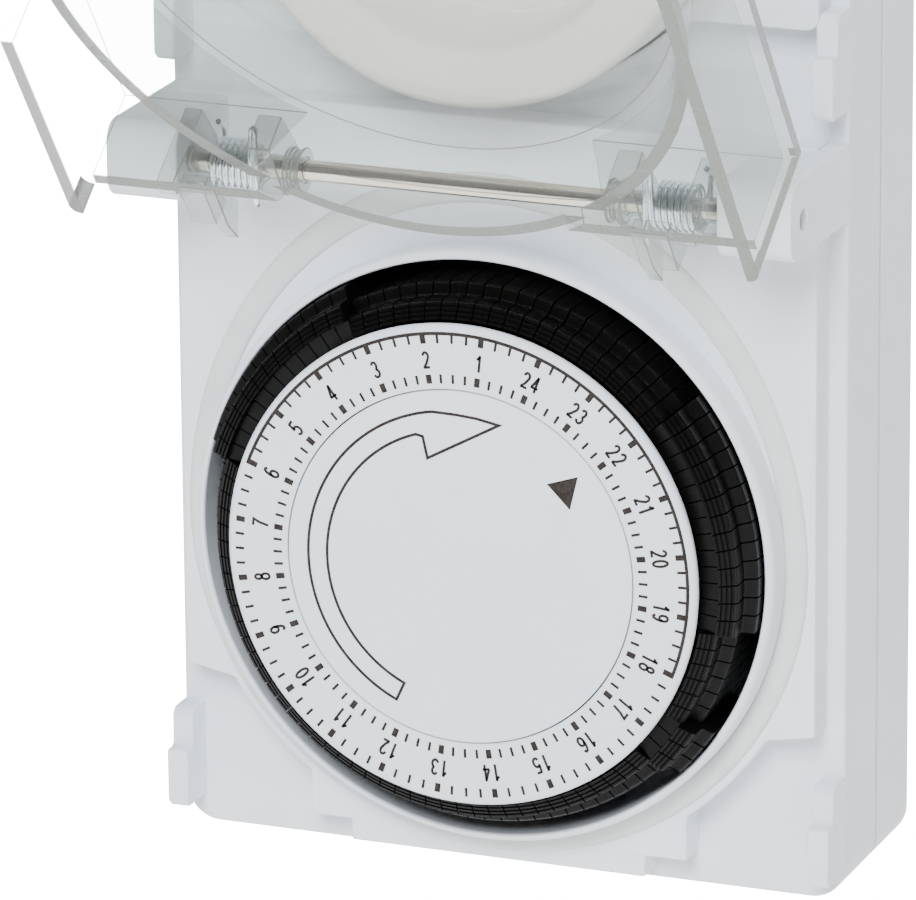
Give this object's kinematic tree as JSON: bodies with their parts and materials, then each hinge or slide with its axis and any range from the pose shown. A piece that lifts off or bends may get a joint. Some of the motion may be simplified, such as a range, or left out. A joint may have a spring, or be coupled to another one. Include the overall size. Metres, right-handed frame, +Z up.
{
  "type": "outdoor plug-through timer",
  "caption": "Tall two-station timer housing: round segment dial under a sprung clear lid, recessed round socket outlet above with its own lid, and a mains plug on the back.",
  "frame": {"origin": "centre of the plug boss's flat end face, between the two pins", "axes": "+Y out of the back along the plug pins, +Z up towards the socket station, +X to the right seen from the front"},
  "size_m": [0.0798, 0.1325, 0.2404],
  "materials": {
    "housing_white": "lightly spark-eroded, cool white",
    "socket_white": "smooth warm white",
    "dial_white": "satin white",
    "tappet_black": "satin black",
    "chassis_grey": "moulded grey",
    "lid_clear": "clear, faint grey-green edges",
    "seal_rubber": "soft beige",
    "bright_steel": "bright",
    "zinc_steel": "zinc plated",
    "contact_brass": "plain"
  },
  "bodies": {
    "housing": {"front_cover": "housing_white", "rear_cover": "housing_white", "body_seal": "seal_rubber", "dial_gasket": "seal_rubber", "cover_screw_1": "zinc_steel", "cover_screw_2": "zinc_steel", "cover_screw_3": "zinc_steel", "cover_screw_4": "zinc_steel", "dial_lid_rod": "bright_steel", "socket_lid_rod": "bright_steel", "dial_spring_left": "zinc_steel", "dial_spring_right": "zinc_steel", "socket_spring_left": "zinc_steel", "socket_spring_right": "zinc_steel", "socket_insert": "socket_white", "socket_screw": "zinc_steel", "earth_bracket": "contact_brass", "contact_sleeve_upper": "contact_brass", "contact_sleeve_lower": "contact_brass", "plug_pin_left": "bright_steel", "plug_pin_right": "bright_steel", "plug_earth_bracket": "contact_brass", "neutral_link": "contact_brass", "live_bar": "contact_brass", "switched_bar": "contact_brass", "timer_chassis": "chassis_grey", "dial_spindle": "bright_steel", "centre_disc": "dial_white", "idler_axle": "bright_steel", "motor": "bright_steel", "microswitch": "tappet_black"},
    "dial_lid": {"dial_lid": "lid_clear"},
    "socket_lid": {"socket_lid": "housing_white"},
    "dial": {"hour_ring": "dial_white", "tappet_carrier": "tappet_black", "dial_gear": "socket_white", "tappet_bank_1": "tappet_black", "tappet_bank_2": "tappet_black", "tappet_bank_3": "tappet_black", "tappet_bank_4": "tappet_black", "tappet_bank_5": "tappet_black", "tappet_bank_6": "tappet_black"},
    "idler": {"idler_gear": "socket_white"},
    "pinion": {"motor_pinion": "contact_brass"},
    "lever": {"switch_lever": "socket_white"},
    "tappet_1": {"tappet_1": "tappet_black"},
    "tappet_2": {"tappet_2": "tappet_black"},
    "tappet_3": {"tappet_3": "tappet_black"},
    "tappet_4": {"tappet_4": "tappet_black"},
    "tappet_5": {"tappet_5": "tappet_black"},
    "tappet_6": {"tappet_6": "tappet_black"}
  },
  "joints": [
    {"name": "dial_lid_hinge", "type": "hinge", "parent": "housing", "child": "dial_lid", "pos_m": [0, -0.05351, -0.03535], "axis": [1, 0, 0], "range_deg": [0, 143.5], "stiffness_Nm_per_rad": 0.02, "springref_deg": -57.3},
    {"name": "socket_lid_hinge", "type": "hinge", "parent": "housing", "child": "socket_lid", "pos_m": [0, -0.05351, 0.05275], "axis": [1, 0, 0], "range_deg": [0, 57], "stiffness_Nm_per_rad": 0.02, "springref_deg": -57.3},
    {"name": "dial_spin", "type": "hinge", "parent": "housing", "child": "dial", "pos_m": [0, -0.054, -0.079], "axis": [0, 1, 0], "continuous": true},
    {"name": "idler_spin", "type": "hinge", "parent": "housing", "child": "idler", "pos_m": [0.0238, -0.036, -0.0552], "axis": [0, 1, 0], "continuous": true},
    {"name": "pinion_spin", "type": "hinge", "parent": "housing", "child": "pinion", "pos_m": [0.0132, -0.034, -0.0658], "axis": [0, 1, 0], "continuous": true},
    {"name": "lever_swing", "type": "hinge", "parent": "housing", "child": "lever", "pos_m": [-0.03295, -0.039, -0.06302], "axis": [0, -1, 0], "range_deg": [0, 4], "stiffness_Nm_per_rad": 0.002, "springref_deg": -5.73},
    {"name": "tappet_1_slide", "type": "slide", "parent": "dial", "child": "tappet_1", "axis": [-0.4353, 0, 0.9003], "range_m": [0, 0.0018]},
    {"name": "tappet_2_slide", "type": "slide", "parent": "dial", "child": "tappet_2", "axis": [-0.9639, 0, 0.2663], "range_m": [0, 0.0018]},
    {"name": "tappet_3_slide", "type": "slide", "parent": "dial", "child": "tappet_3", "axis": [0.7016, 0, -0.7126], "range_m": [0, 0.0018]},
    {"name": "tappet_4_slide", "type": "slide", "parent": "dial", "child": "tappet_4", "axis": [0.8621, 0, -0.5067], "range_m": [0, 0.0018]},
    {"name": "tappet_5_slide", "type": "slide", "parent": "dial", "child": "tappet_5", "axis": [0.9792, 0, -0.2027], "range_m": [0, 0.0018]},
    {"name": "tappet_6_slide", "type": "slide", "parent": "dial", "child": "tappet_6", "axis": [0.7569, 0, 0.6535], "range_m": [0, 0.0018]}
  ],
  "couplings": [
    {"joint": "idler_spin", "follows": "dial_spin", "ratio": -6},
    {"joint": "pinion_spin", "follows": "dial_spin", "ratio": 24}
  ]
}
